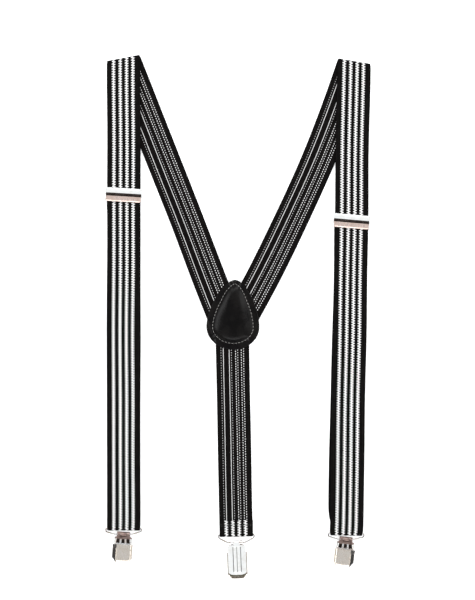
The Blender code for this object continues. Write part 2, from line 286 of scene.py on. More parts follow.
def makeWeaveGroup():
    # the plain elastic ground: rounded crossings, lengthwise ribs in the borders, fibre fuzz
    group, given, out = newGroup("elasticWeave", (("Across", "NodeSocketFloat", 0.5),
                                                  ("Along", "NodeSocketFloat", 0.0)),
                                 (("Height", "NodeSocketFloat"), ("Shade", "NodeSocketFloat")))
    across = calc(group, "MULTIPLY", given["Across"], math.tau * webbing["width"] / webbing["warp"])
    along = calc(group, "MULTIPLY", given["Along"], math.tau / webbing["pick"])
    crossing = calc(group, "MULTIPLY", calc(group, "SINE", across), calc(group, "SINE", along))
    picks = calc(group, "COSINE", calc(group, "MULTIPLY", along, 2.0))
    fromMiddle = calc(group, "ABSOLUTE", calc(group, "SUBTRACT", given["Across"], 0.5))
    border = softStep(group, fromMiddle, 0.350, 0.362)
    ribs = calc(group, "COSINE", calc(group, "MULTIPLY", fromMiddle, math.tau / 0.047))
    ground = calc(group, "ADD", calc(group, "MULTIPLY", crossing, 0.30), calc(group, "MULTIPLY", picks, 0.10))
    ribbed = calc(group, "ADD", calc(group, "MULTIPLY", ribs, 0.34), calc(group, "MULTIPLY", crossing, 0.10))
    joined = group.nodes.new("ShaderNodeCombineXYZ")
    group.links.new(calc(group, "MULTIPLY", given["Across"], webbing["width"]), joined.inputs["X"])
    group.links.new(given["Along"], joined.inputs["Y"])
    fuzz = noise(group, joined.outputs["Vector"], 2600.0, 3.0, 0.65)
    blotch = noise(group, joined.outputs["Vector"], 160.0, 2.0, 0.5)
    part = calc(group, "ADD", calc(group, "MULTIPLY", ground, calc(group, "SUBTRACT", 1.0, border)),
                calc(group, "MULTIPLY", ribbed, border))
    height = calc(group, "ADD", calc(group, "ADD", part, 0.5), calc(group, "MULTIPLY", fuzz, 0.16))
    group.links.new(height, out["Height"])
    # Shade is darker where the weave is low, which is painted shade in its hollows, over fuzz and blotches
    # that are the yarn's own tone
    tone = calc(group, "ADD", calc(group, "MULTIPLY", height, 0.62), calc(group, "MULTIPLY", fuzz, 0.34))
    tone = calc(group, "MULTIPLY", tone, softStep(group, blotch, 0.3, 0.7, 0.72, 1.12))
    group.links.new(calc(group, "SUBTRACT", tone, 0.16), out["Shade"])
    return group


def makeStripeGroup():
    # one bold stripe whose edges step in and out with the picks
    group, given, out = newGroup("serratedStripe", (("Across", "NodeSocketFloat", 0.5),
                                                    ("Along", "NodeSocketFloat", 0.0),
                                                    ("Middle", "NodeSocketFloat", 0.5),
                                                    ("Phase", "NodeSocketFloat", 0.0)),
                                 (("Mask", "NodeSocketFloat"),))
    away = calc(group, "SUBTRACT", given["Across"], given["Middle"])
    turn = calc(group, "MULTIPLY", calc(group, "DIVIDE", given["Along"], webbing["pick"]), math.tau)
    turn = calc(group, "ADD", turn, calc(group, "MULTIPLY", given["Phase"], math.tau))
    turn = calc(group, "ADD", turn, calc(group, "MULTIPLY", calc(group, "SIGN", away), 1.1))
    wave = calc(group, "MULTIPLY", calc(group, "SINE", turn), 2.5)
    wave = calc(group, "MAXIMUM", calc(group, "MINIMUM", wave, 1.0), -1.0)
    wobble = calc(group, "MULTIPLY", wave, webbing["serration"])
    edge = calc(group, "ADD", wobble, webbing["stripeHalf"])
    inside = calc(group, "SUBTRACT", edge, calc(group, "ABSOLUTE", away))
    group.links.new(softStep(group, inside, -0.004, 0.004), out["Mask"])
    return group


def makeLineGroup():
    # one thin line of the reverse, whole or broken into beads by the picks
    group, given, out = newGroup("beadedLine", (("Across", "NodeSocketFloat", 0.5),
                                                ("Along", "NodeSocketFloat", 0.0),
                                                ("Middle", "NodeSocketFloat", 0.5),
                                                ("Half", "NodeSocketFloat", 0.01),
                                                ("Share", "NodeSocketFloat", 0.5),
                                                ("Phase", "NodeSocketFloat", 0.0),
                                                ("Bright", "NodeSocketFloat", 1.0)),
                                 (("Mask", "NodeSocketFloat"),))
    away = calc(group, "ABSOLUTE", calc(group, "SUBTRACT", given["Across"], given["Middle"]))
    line = softStep(group, calc(group, "SUBTRACT", given["Half"], away), -0.003, 0.003)
    count = calc(group, "ADD", calc(group, "DIVIDE", given["Along"], webbing["pick"]), given["Phase"])
    beat = calc(group, "ABSOLUTE", calc(group, "SUBTRACT", calc(group, "FRACT", count), 0.5))
    shown = calc(group, "SUBTRACT", calc(group, "MULTIPLY", given["Share"], 0.5), beat)
    bead = calc(group, "MAXIMUM", softStep(group, shown, -0.05, 0.05),
                calc(group, "GREATER_THAN", given["Share"], 0.99))
    group.links.new(calc(group, "MULTIPLY", calc(group, "MULTIPLY", line, bead), given["Bright"]),
                    out["Mask"])
    return group


weaveGroup, stripeGroup, lineGroup = makeWeaveGroup(), makeStripeGroup(), makeLineGroup()


def webbingMaterial(name, reverse):
    made, tree, shader = newMaterial(name, Roughness=0.88, Specular_IOR_Level=0.05)
    cloth = tree.nodes.new("ShaderNodeUVMap")
    cloth.uv_map = "webbing"
    split = tree.nodes.new("ShaderNodeSeparateXYZ")
    tree.links.new(cloth.outputs["UV"], split.inputs["Vector"])
    place = {"Across": split.outputs["X"], "Along": split.outputs["Y"]}
    weave = useGroup(tree, weaveGroup, **place)
    if reverse:
        masks = [useGroup(tree, lineGroup, Middle=middle, Half=half, Share=share, Phase=phase, Bright=bright,
                          **place)["Mask"] for middle, half, share, phase, bright in webbing["lines"]]
    else:
        masks = [useGroup(tree, stripeGroup, Middle=middle, Phase=index * 0.29, **place)["Mask"]
                 for index, middle in enumerate(webbing["stripes"])]
    white = masks[0]
    for mask in masks[1:]:
        white = calc(tree, "MAXIMUM", white, mask)
    # the black and the white are both darker in the weave's hollows: painted shade
    dark = mixColor(tree, weave["Shade"], webbing["black"], webbing["blackLight"])
    pale = mixColor(tree, softStep(tree, weave["Height"], 0.32, 0.72), webbing["whiteShade"],
                    webbing["white"])
    tree.links.new(mixColor(tree, white, dark, pale), shader["Base Color"])
    relief = calc(tree, "ADD", weave["Height"], calc(tree, "MULTIPLY", white, 0.35))
    tree.links.new(bump(tree, relief, 0.16 * mm), shader["Normal"])
    return made


webbingFace = webbingMaterial("webbingFace", False)
webbingReverse = webbingMaterial("webbingReverse", True)


# leather, metal, thread and pad finishes, and the painted shade on some metal parts

def makeGrainGroup():
    group, given, out = newGroup("leatherGrain", (("Place", "NodeSocketVector", (0, 0, 0)),
                                                  ("Scale", "NodeSocketFloat", 700.0)),
                                 (("Height", "NodeSocketFloat"), ("Shade", "NodeSocketFloat")))
    cells = group.nodes.new("ShaderNodeTexVoronoi")
    cells.feature = "DISTANCE_TO_EDGE"
    group.links.new(given["Place"], cells.inputs["Vector"])
    group.links.new(given["Scale"], cells.inputs["Scale"])
    pebble = softStep(group, cells.outputs["Distance"], 0.0, 0.28)
    fine = noise(group, given["Place"], calc(group, "MULTIPLY", given["Scale"], 3.0), 3.0, 0.6)
    crease = noise(group, given["Place"], calc(group, "MULTIPLY", given["Scale"], 0.11), 4.0, 0.6)
    height = calc(group, "ADD", calc(group, "MULTIPLY", pebble, 0.5), calc(group, "MULTIPLY", fine, 0.3))
    group.links.new(calc(group, "ADD", height, calc(group, "MULTIPLY", crease, 0.6)), out["Height"])
    group.links.new(softStep(group, crease, 0.35, 0.7), out["Shade"])
    return group


def makeWearGroup():
    # plated metal: soft smudges, hairline scratches and a warmer tint where the plate is thin
    group, given, out = newGroup("platedWear", (("Place", "NodeSocketVector", (0, 0, 0)),
                                                ("Plate", "NodeSocketColor", (0.8, 0.8, 0.8, 1)),
                                                ("Thin", "NodeSocketColor", (0.7, 0.6, 0.5, 1)),
                                                ("Roughness", "NodeSocketFloat", 0.2)),
                                 (("Color", "NodeSocketColor"), ("Roughness", "NodeSocketFloat"),
                                  ("Height", "NodeSocketFloat")))
    smudge = noise(group, given["Place"], 210.0, 3.0, 0.55)
    hairs = noise(group, stretched(group, given["Place"], (3600, 260, 900)), 1.0, 2.0, 0.6)
    pits = noise(group, given["Place"], 2400.0, 2.0, 0.6)
    thin = softStep(group, smudge, 0.42, 0.68)
    group.links.new(mixColor(group, thin, given["Plate"], given["Thin"]), out["Color"])
    change = calc(group, "ADD", calc(group, "MULTIPLY", smudge, 0.14), calc(group, "MULTIPLY", hairs, 0.12))
    group.links.new(calc(group, "ADD", given["Roughness"], calc(group, "SUBTRACT", change, 0.11)),
                    out["Roughness"])
    group.links.new(calc(group, "ADD", hairs, calc(group, "MULTIPLY", pits, 0.5)), out["Height"])
    return group


grainGroup, wearGroup = makeGrainGroup(), makeWearGroup()


def metal(name, plate, thin, roughness, depth=0.006 * mm, metallic=1.0):
    made, tree, shader = newMaterial(name, Metallic=metallic)
    worn = useGroup(tree, wearGroup, Place=objectPlace(tree), Plate=(*plate, 1), Thin=(*thin, 1),
                    Roughness=roughness)
    tree.links.new(worn["Color"], shader["Base Color"])
    tree.links.new(worn["Roughness"], shader["Roughness"])
    tree.links.new(bump(tree, worn["Height"], depth), shader["Normal"])
    return made


def leather(name, dark, light, lowRough, highRough, scale, depth):
    made, tree, shader = newMaterial(name, Specular_IOR_Level=0.10, Coat_Weight=0.03, Coat_Roughness=0.14)
    grain = useGroup(tree, grainGroup, Place=objectPlace(tree), Scale=scale)
    tree.links.new(mixColor(tree, grain["Shade"], (*dark, 1), (*light, 1)), shader["Base Color"])
    tree.links.new(softStep(tree, grain["Shade"], 0.0, 1.0, lowRough, highRough), shader["Roughness"])
    tree.links.new(bump(tree, grain["Height"], depth), shader["Normal"])
    return made


def thread(name, dark, light):
    made, tree, shader = newMaterial(name, Roughness=0.6, Specular_IOR_Level=0.3)
    twist = tree.nodes.new("ShaderNodeTexWave")
    twist.bands_direction = "DIAGONAL"
    twist.inputs["Scale"].default_value = 900
    twist.inputs["Distortion"].default_value = 1.5
    tree.links.new(objectPlace(tree), twist.inputs["Vector"])
    tree.links.new(mixColor(tree, twist.outputs["Fac"], (*dark, 1), (*light, 1)), shader["Base Color"])
    tree.links.new(bump(tree, twist.outputs["Fac"], 0.05 * mm), shader["Normal"])
    return made


def padMaterial():
    made, tree, shader = newMaterial("padPlastic", Specular_IOR_Level=0.35)
    place = objectPlace(tree)
    speckle = noise(tree, place, 1500.0, 3.0, 0.6)
    tree.links.new(mixColor(tree, speckle, (0.030, 0.028, 0.014, 1), (0.075, 0.068, 0.034, 1)),
                   shader["Base Color"])
    tree.links.new(softStep(tree, speckle, 0.3, 0.7, 0.42, 0.62), shader["Roughness"])
    tree.links.new(bump(tree, speckle, 0.03 * mm), shader["Normal"])
    return made


finish = {
    "leather": leather("patchLeather", (0.0018, 0.0016, 0.0016), (0.0042, 0.0036, 0.0033), 0.22, 0.34,
                       620.0, 0.05 * mm),
    "cutEdge": leather("patchCutEdge", (0.030, 0.022, 0.018), (0.060, 0.044, 0.034), 0.6, 0.75, 1500.0,
                       0.08 * mm),
    "wire": metal("wireNickel", (0.50, 0.49, 0.48), (0.40, 0.35, 0.31), 0.20),
    "plate": metal("clipNickel", (0.80, 0.80, 0.79), (0.66, 0.58, 0.53), 0.22, metallic=0.8),
    "lever": metal("leverNickel", (0.82, 0.76, 0.68), (0.72, 0.65, 0.56), 0.24, 0.010 * mm, 0.9),
    "bright": metal("adjusterNickel", (0.70, 0.71, 0.70), (0.64, 0.64, 0.62), 0.30, 0.012 * mm, 0.35),
    "rose": metal("adjusterLeverNickel", (0.60, 0.48, 0.43), (0.50, 0.38, 0.32), 0.27, 0.012 * mm, 0.6),
    # painted shade on the steep facet of the front levers, in place of a dark reflection
    "leverShade": metal("leverShadedNickel", (0.13, 0.125, 0.12), (0.09, 0.08, 0.075), 0.24, 0.003 * mm, 0.9),
    # painted shade in the grooves of the back plate's rib
    "groove": metal("groovePaintedShade", (0.16, 0.16, 0.16), (0.09, 0.09, 0.09), 0.30),
    # painted shade on the eye end of the front clips, under the strap
    "knuckle": metal("knucklePaintedShade", (0.34, 0.25, 0.22), (0.16, 0.11, 0.10), 0.30, 0.012 * mm),
    # painted shade for gaps, the hinge barrels and what shows through the jaws' windows
    "shade": metal("hingePaintedShade", (0.045, 0.035, 0.032), (0.022, 0.017, 0.015), 0.42),
    "pad": padMaterial(),
    "patchThread": thread("patchThread", (0.13, 0.125, 0.12), (0.34, 0.33, 0.31)),
    "blackThread": thread("blackThread", (0.008, 0.008, 0.008), (0.03, 0.03, 0.03)),
}
print("finishes ready:", len(bpy.data.materials))


# building pieces

sharpAngle = 38


def addPiece(name, bm, finishes, body, replaced=(), place=None):
    # place puts a bmesh drawn in millimetres round its own joint into the object's frame
    if place is not None:
        bm.transform(place @ Matrix.Scale(mm, 4))
    mesh = bpy.data.meshes.new(name)
    bm.to_mesh(mesh)
    bm.free()
    for made in finishes:
        mesh.materials.append(made)
    mesh.shade_smooth()
    mesh.set_sharp_from_angle(angle=math.radians(sharpAngle))
    piece = bpy.data.objects.new(name, mesh)
    bpy.context.scene.collection.objects.link(piece)
    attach(piece, body)
    if replaced:
        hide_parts(*replaced)
    return piece


def rounded(piece, width, segments=2, angle=35):
    edge = piece.modifiers.new("roundedEdges", "BEVEL")
    edge.width = width * mm
    edge.segments = segments
    edge.limit_method = "ANGLE"
    edge.angle_limit = math.radians(angle)


def walled(piece, thickness):
    wall = piece.modifiers.new("wall", "SOLIDIFY")
    wall.thickness = thickness * mm
    wall.offset = 0.0
    wall.use_even_offset = True


def addBlock(bm, low, high, bevel=0.0, segments=2):
    low, high = Vector(low), Vector(high)
    size = Matrix.Diagonal((*(high - low), 1))
    made = bmesh.ops.create_cube(bm, size=1, matrix=Matrix.Translation((low + high) / 2) @ size)["verts"]
    if bevel:
        edges = {edge for vert in made for edge in vert.link_edges}
        bmesh.ops.bevel(bm, geom=list(edges), offset=bevel, segments=segments, profile=0.5,
                        affect="EDGES", material=-1)


def addRod(bm, start, end, radius, segments=24, bevel=0.0):
    start, end = Vector(start), Vector(end)
    turn = (end - start).to_track_quat("Z", "Y").to_matrix().to_4x4()
    made = bmesh.ops.create_cone(bm, cap_ends=True, segments=segments, radius1=radius, radius2=radius,
                                 depth=(end - start).length,
                                 matrix=Matrix.Translation((start + end) / 2) @ turn)
    if bevel:
        rims = [edge for edge in {e for v in made["verts"] for e in v.link_edges}
                if any(len(face.verts) > 4 for face in edge.link_faces)]
        bmesh.ops.bevel(bm, geom=rims, offset=bevel, segments=2, profile=0.5, affect="EDGES", material=-1)


def shapedGrid(columns, rows, place):
    # a grid whose corners go where place(column, row) says, without the faces that it gives no place
    bm = bmesh.new()
    across, along = len(columns) - 1, len(rows) - 1
    bmesh.ops.create_grid(bm, x_segments=across, y_segments=along, size=0.5)
    marks = {}
    for vert in bm.verts:
        column = columns[round((vert.co.x + 0.5) * across)]
        row = rows[round((vert.co.y + 0.5) * along)]
        marks[vert] = (column, row)
    for face in list(bm.faces):
        if place(*(sum(marks[vert][i] for vert in face.verts) / 4 for i in (0, 1))) is None:
            bm.faces.remove(face)
    for vert, (column, row) in marks.items():
        if vert.link_faces:
            vert.co = place(column, row, True)
    bmesh.ops.delete(bm, geom=[vert for vert in bm.verts if not vert.link_faces], context="VERTS")
    bmesh.ops.delete(bm, geom=[edge for edge in bm.edges if not edge.link_faces], context="EDGES")
    return bm


def steps(start, end, count):
    return [start + (end - start) * i / count for i in range(count + 1)]


def ease(t):
    t = min(1.0, max(0.0, t))
    return t * t * (3 - 2 * t)


# webbing

bands = {
    "left_strap": {"faceSign": 1, "vSign": 1, "sway": (0.25, 0.4), "pinch": 0.035, "shift": 0.0},
    "right_strap": {"faceSign": 1, "vSign": 1, "sway": (0.3, 2.1), "pinch": 0.085, "shift": 0.4},
    "back_strap": {"faceSign": 1, "vSign": 1, "sway": (0.12, 1.2), "pinch": 0.0, "shift": 0.0},
    "left_strap_tail": {"faceSign": -1, "vSign": -1, "sway": (0.2, 3.0), "pinch": 0.035, "shift": 0.2},
    "right_strap_tail": {"faceSign": -1, "vSign": -1, "sway": (0.2, 4.0), "pinch": 0.06, "shift": -1.5},
}
weaveShape = {"rib": 0.05, "edgeRound": 0.55, "columns": 26, "longStep": 1.6 * mm, "foldPull": 0.03}

route = {  # the course of each webbing on the table, in millimetres from the lower middle
    "middle": (0.9, 271.8, 0), "table": 0.8, "wrap": 1.75, "ringLevel": 2.55, "atAdjuster": 4.5,
    "atFold": 3.0,
    "bar": 1.95, "barWrap": 1.15, "tailStart": 4.4, "loop": 5.5, "lap": 15,
    "left": {"ring": (-117.5, 52.8), "fold": (-117.2, 538.6), "patch": (-9.5, 262.5), "bend": 0.0,
             "layer": 4.3,
             "adjuster": 345.0},
    "right": {"ring": (113.0, 47.6), "fold": (121.2, 535.2), "patch": (-1.0, 262.0), "bend": 5.8,
              "layer": 5.8,
              "adjuster": 323.0},
    "back": {"ring": (-0.7, 46.6), "top": (-5.2, 262.0), "layer": 2.8, "ringLevel": 4.2, "hem": 14.5},
}
halfBand = webbing["width"] / mm / 2


def level(point, z):
    return Vector((point[0], point[1], z))


def heightAt(heights, s):
    for (s0, z0), (s1, z1) in zip(heights, heights[1:]):
        if s <= s1:
            return z0 + (z1 - z0) * ease((s - s0) / (s1 - s0))
    return heights[-1][1]


def straight(start, end, acrossStart, acrossEnd, heights, count):
    length = (end - start).length
    return [(level(start.lerp(end, t), heightAt(heights, length * t)), acrossStart.lerp(acrossEnd, t))
            for t in steps(0, 1, count)]


def roundBar(centre, outward, across, radius, start, end, count):
    return [(centre + outward * radius * math.cos(a) + up * radius * math.sin(a), across)
            for a in map(math.radians, steps(start, end, count))]


def bowed(start, end, bend, across, heights, count):
    # a leg that leaves and arrives turned by bend degrees, square again after its first quarter
    chord = end - start
    first = start + Matrix.Rotation(math.radians(bend), 3, "Z") @ chord / 3
    last = end - Matrix.Rotation(math.radians(-bend), 3, "Z") @ chord / 3
    middle = interpolate_bezier(start, first, last, end, count + 1)
    rows, s = [], 0.0
    for i, point in enumerate(middle):
        before, after = middle[max(i - 1, 0)], middle[min(i + 1, count)]
        s += (point - before).length
        square = (after - before).normalized().cross(up) * halfBand
        if square.dot(across) < 0:
            square.negate()
        rows.append((level(point, heightAt(heights, s)), across.lerp(square, ease(4 * i / count))))
    return rows


def shoulderRoute(side):
    at = route[side]
    ring, fold, end = (Vector((*at[key], 0)) for key in ("ring", "fold", "patch"))
    ahead = (fold - ring).normalized()
    firstDown = Matrix.Rotation(math.radians(at["bend"]), 3, "Z") @ (end - fold).normalized()
    outward = (ahead - firstDown).normalized()
    crease, square = outward.cross(up), ahead.cross(up) * halfBand
    slanted = crease * halfBand / crease.dot(square.normalized())
    top = level(ring, route["ringLevel"])
    rows = [(top + ahead * 4 - up * route["wrap"], square)]
    rows += roundBar(top, -ahead, square, route["wrap"], -90, 90, 8)
    rows += straight(ring, fold, square, slanted,
                     [(0, route["ringLevel"] + route["wrap"]), (30, route["atAdjuster"]),
                      (at["adjuster"] + 12, route["atAdjuster"]),
                      (at["adjuster"] + 75, route["atFold"])], 32)[1:]
    radius = (route["atFold"] - route["table"]) / 2
    rows += roundBar(level(fold, route["table"] + radius), outward, slanted, radius, 90, -90, 8)[1:]
    length = (end - fold).length
    return rows + bowed(fold, end, at["bend"], slanted,
                        [(length - 105, route["table"]), (length - 40, at["layer"])], 22)[1:]


def tailRoute(side):
    at = route[side]
    ring, fold = (Vector((*at[key], 0)) for key in ("ring", "fold"))
    ahead = (fold - ring).normalized()
    square = ahead.cross(up) * halfBand
    bar, radius = level(ring + ahead * at["adjuster"], route["bar"]), route["barWrap"]
    rows = straight(ring + ahead * route["tailStart"], level(bar, 0), square, square,
                    [(0, route["ringLevel"] - route["wrap"]), (40, bar.z - radius)], 20)
    rows += roundBar(bar + ahead * route["loop"], ahead, square, radius, -90, 90, 6)
    return rows + [(bar - ahead * route["lap"] + up * radius, square)]


def backRoute():
    at = route["back"]
    ring, top = Vector((*at["ring"], 0)), Vector((*at["top"], 0))
    down = (ring - top).normalized()
    square = up.cross(down) * halfBand
    length, under = (ring - top).length, at["ringLevel"] - route["wrap"]
    rows = straight(top, ring, square, square, [(35, at["layer"]), (100, route["table"]),
                                                (length - 60, route["table"]), (length, under)], 26)
    rows += roundBar(level(ring, at["ringLevel"]), down, square, route["wrap"], -90, 90, 8)[1:]
    return rows + [(level(ring - down * 6, at["ringLevel"] + 0.3), square),
                   (level(ring - down * at["hem"], under + 1.4), square)]


def bandRows(node):
    side = node.split("_")[0]
    if side == "back":
        rows = backRoute()
    else:
        rows = tailRoute(side) if node.endswith("tail") else shoulderRoute(side)
    middle = Vector(route["middle"])
    return [((centre - across - middle) * mm, (centre + across - middle) * mm) for centre, across in rows]


def curvePoint(line, index, t):
    # a smooth curve through the points of a line, whose direction follows the longer neighbour
    def direction(i):
        ahead, behind = line[min(i + 1, len(line) - 1)], line[max(i - 1, 0)]
        return (ahead - behind).normalized()

    first, second = line[index], line[index + 1]
    reach = (second - first).length
    t2, t3 = t * t, t * t * t
    return (first * (2 * t3 - 3 * t2 + 1) + direction(index) * reach * (t3 - 2 * t2 + t)
            + second * (3 * t2 - 2 * t3) + direction(index + 1) * reach * (t3 - t2))


def bandSection():
    # (across from -0.5 to 0.5, height in mm) round a webbing: the face, one edge, the reverse, the other edge
    half, thick, corner = halfBand, webbing["thickness"] / mm / 2, weaveShape["edgeRound"]
    face = []
    for x in steps(-half + corner, half - corner, weaveShape["columns"]):
        u = x / (2 * half) + 0.5
        onStripe = any(abs(u - middle) < webbing["stripeHalf"] for middle in webbing["stripes"])
        face.append((x, thick + (weaveShape["rib"] if onStripe else -weaveShape["rib"] / 2)))
    turn = [(half - corner + corner * math.cos(a), thick * math.sin(a))
            for a in (math.radians(d) for d in (60, 30, 0, -30, -60))]
    back = [(x, -thick) for x, _ in reversed(face)]
    return [(x / (2 * half), h) for x, h in face + turn + back + [(-x, -h) for x, h in turn]]


def makeBand(node):
    look = bands[node]
    rows = bandRows(node)
    lefts, rights = [row[0] for row in rows], [row[1] for row in rows]
    stations, distance = [], 0.0
    for i in range(len(rows) - 1):
        length = ((lefts[i + 1] + rights[i + 1]) - (lefts[i] + rights[i])).length / 2
        count = 2 if length < 2 * mm else math.ceil(length / weaveShape["longStep"])
        for k in range(count + (i == len(rows) - 2)):
            t = k / count
            stations.append((curvePoint(lefts, i, t), curvePoint(rights, i, t), distance + t * length))
        distance += length
    tops = [(left + right) / 2 for left, right, _ in stations]
    section = bandSection()
    bm = bmesh.new()
    around = len(section)
    bmesh.ops.create_grid(bm, x_segments=around, y_segments=len(stations) - 1, size=0.5)
    uvs, sides = {}, {}
    foldAt = max(range(len(tops)), key=lambda i: tops[i].y)
    strength, phase = look["sway"]
    for vert in bm.verts:
        k, i = round((vert.co.x + 0.5) * around) % around, round((vert.co.y + 0.5) * (len(stations) - 1))
        left, right, s = stations[i]
        across = right - left
        ahead = tops[min(i + 1, len(tops) - 1)] - tops[max(i - 1, 0)]
        face = across.cross(ahead).normalized() * look["faceSign"]
        share, height = section[k]
        fromRing, fromFold = s / mm, abs(s - stations[foldAt][2]) / mm
        width = 1 - look["pinch"] * (1 - ease((fromRing - 3) / 11))
        if node in ("left_strap", "right_strap"):
            width -= weaveShape["foldPull"] * (1 - ease(fromFold / 4.5))
        width += 0.004 * math.sin(s / 0.019 + phase)
        sway = strength * (math.sin(s / 0.047 + phase) + 0.5 * math.sin(s / 0.021 + 2 * phase))
        sway += look["shift"] * ease(fromRing / 25) * (1 - ease((fromRing - 120) / 150))
        sway *= ease(fromRing / 18) * mm
        vert.co = ((left + right) / 2 + across * share * width
                   + across.normalized() * sway + face * height * mm)
        uvs[vert] = (share + 0.5, s * look["vSign"])
        sides[vert] = height >= 0
    layer = bm.loops.layers.uv.new("webbing")
    for face in bm.faces:
        face.material_index = 0 if all(sides[vert] for vert in face.verts) else 1
        for loop in face.loops:
            loop[layer].uv = uvs[loop.vert]
    bmesh.ops.remove_doubles(bm, verts=bm.verts, dist=0.002 * mm)
    rims = [edge for edge in bm.edges if edge.is_boundary]
    capped = bmesh.ops.holes_fill(bm, edges=rims, sides=0)["faces"]
    bmesh.ops.recalc_face_normals(bm, faces=bm.faces)
    for face in capped:
        face.material_index = 1
    piece = addPiece(f"{node}_webbing", bm, (webbingFace, webbingReverse), "straps", (node,))
    return piece, distance, stations


woven = {}
for node in bands:
    piece, length, stations = makeBand(node)
    woven[node] = {"piece": piece, "length": length, "stations": stations}
    print("webbing", node, round(length, 4))


# sewing

stitch = {"length": 2.6, "gap": 0.9, "radius": 0.26}


def addStitch(bm, start, end, normal, radius):
    # one stitch: a flattened bead that lies on the surface with its ends drawn in
    along = (end - start).normalized()
    side = normal.cross(along).normalized()
    turn = Matrix((along, side, along.cross(side))).transposed().to_4x4()
    size = Matrix.Diagonal(((end - start).length / 2, radius * mm, radius * 0.8 * mm, 1))
    bmesh.ops.create_uvsphere(bm, u_segments=8, v_segments=6, radius=1,
                              matrix=Matrix.Translation((start + end) / 2) @ turn @ size
                              @ Matrix.Rotation(math.pi / 2, 4, "Y"))


def stitchLine(bm, points, normals, sizes=stitch):
    # evenly spaced stitches along a line of points
    lengths = [0.0]
    for a, b in zip(points, points[1:]):
        lengths.append(lengths[-1] + (b - a).length)
    pitch = (sizes["length"] + sizes["gap"]) * mm
    count = max(1, round(lengths[-1] / pitch))
    pitch = lengths[-1] / count
    share = sizes["length"] / (sizes["length"] + sizes["gap"])

    def at(s):
        i = max(k for k in range(len(lengths) - 1) if lengths[k] <= s + 1e-9)
        t = (s - lengths[i]) / (lengths[i + 1] - lengths[i])
        return points[i].lerp(points[i + 1], t), normals[i]

    for n in range(count):
        start, normal = at(n * pitch + pitch * (1 - share) / 2)
        end, _ = at((n + 1) * pitch - pitch * (1 - share) / 2)
        addStitch(bm, start, end, normal, sizes["radius"])


# leather patch

patch = {"rim": 6.4, "rimAtTip": 4.3, "thickness": 1.3, "puff": 2.1, "groove": 0.5, "puffReach": 13.0,
         "rings": (0.0, 0.06, 0.3, 0.7, 0.9, 1.0)}


def outlineOf(node, count):
    # a smooth closed outline from the top edge of a flat solid, anticlockwise from its right-hand side
    verts = frame["nodes"][node].data.vertices
    top = max(vert.co.z for vert in verts)
    found = {(round(v.co.x, 6), round(v.co.y, 6)) for v in verts if v.co.z > top - 0.01 * mm}
    middle = (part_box(node)[0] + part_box(node)[1]) / 2
    ring = sorted(found, key=lambda p: math.atan2(p[1] - middle.y, p[0] - middle.x))
    ring = [Vector((x, y, 0)) for x, y in ring]
    lengths = [(ring[(i + 1) % len(ring)] - p).length for i, p in enumerate(ring)]
    total, line, i, done = sum(lengths), [], 0, 0.0
    for n in range(count):
        s = total * n / count
        while done + lengths[i] < s:
            done += lengths[i]
            i += 1
        near = [ring[(i + k) % len(ring)] for k in (-1, 0, 1, 2)]
        line.append(curvePoint(near, 1, (s - done) / lengths[i]))
    return line, middle


def strapTops(x, y):
    # height of the highest webbing under a point near the patch, falling away beyond its edges
    best = 0.0
    for node in ("left_strap", "right_strap", "back_strap"):
        for left, right, _ in woven[node]["stations"][::6]:
            middle = (left + right) / 2
            if abs(middle.y - y) > 40 * mm or abs(middle.x - x) > 40 * mm or middle.z > 7 * mm:
                continue
            across = (right - left).normalized()
            offset = Vector((x, y, middle.z)) - middle
            beside = abs(offset.dot(across))
            ahead = abs(offset.dot(across.cross(up)))
            beyond = max(0.0, beside - webbing["width"] / 2) + max(0.0, ahead - 5 * mm)
            best = max(best, middle.z + webbing["thickness"] / 2 - 0.75 * beyond)
    return best


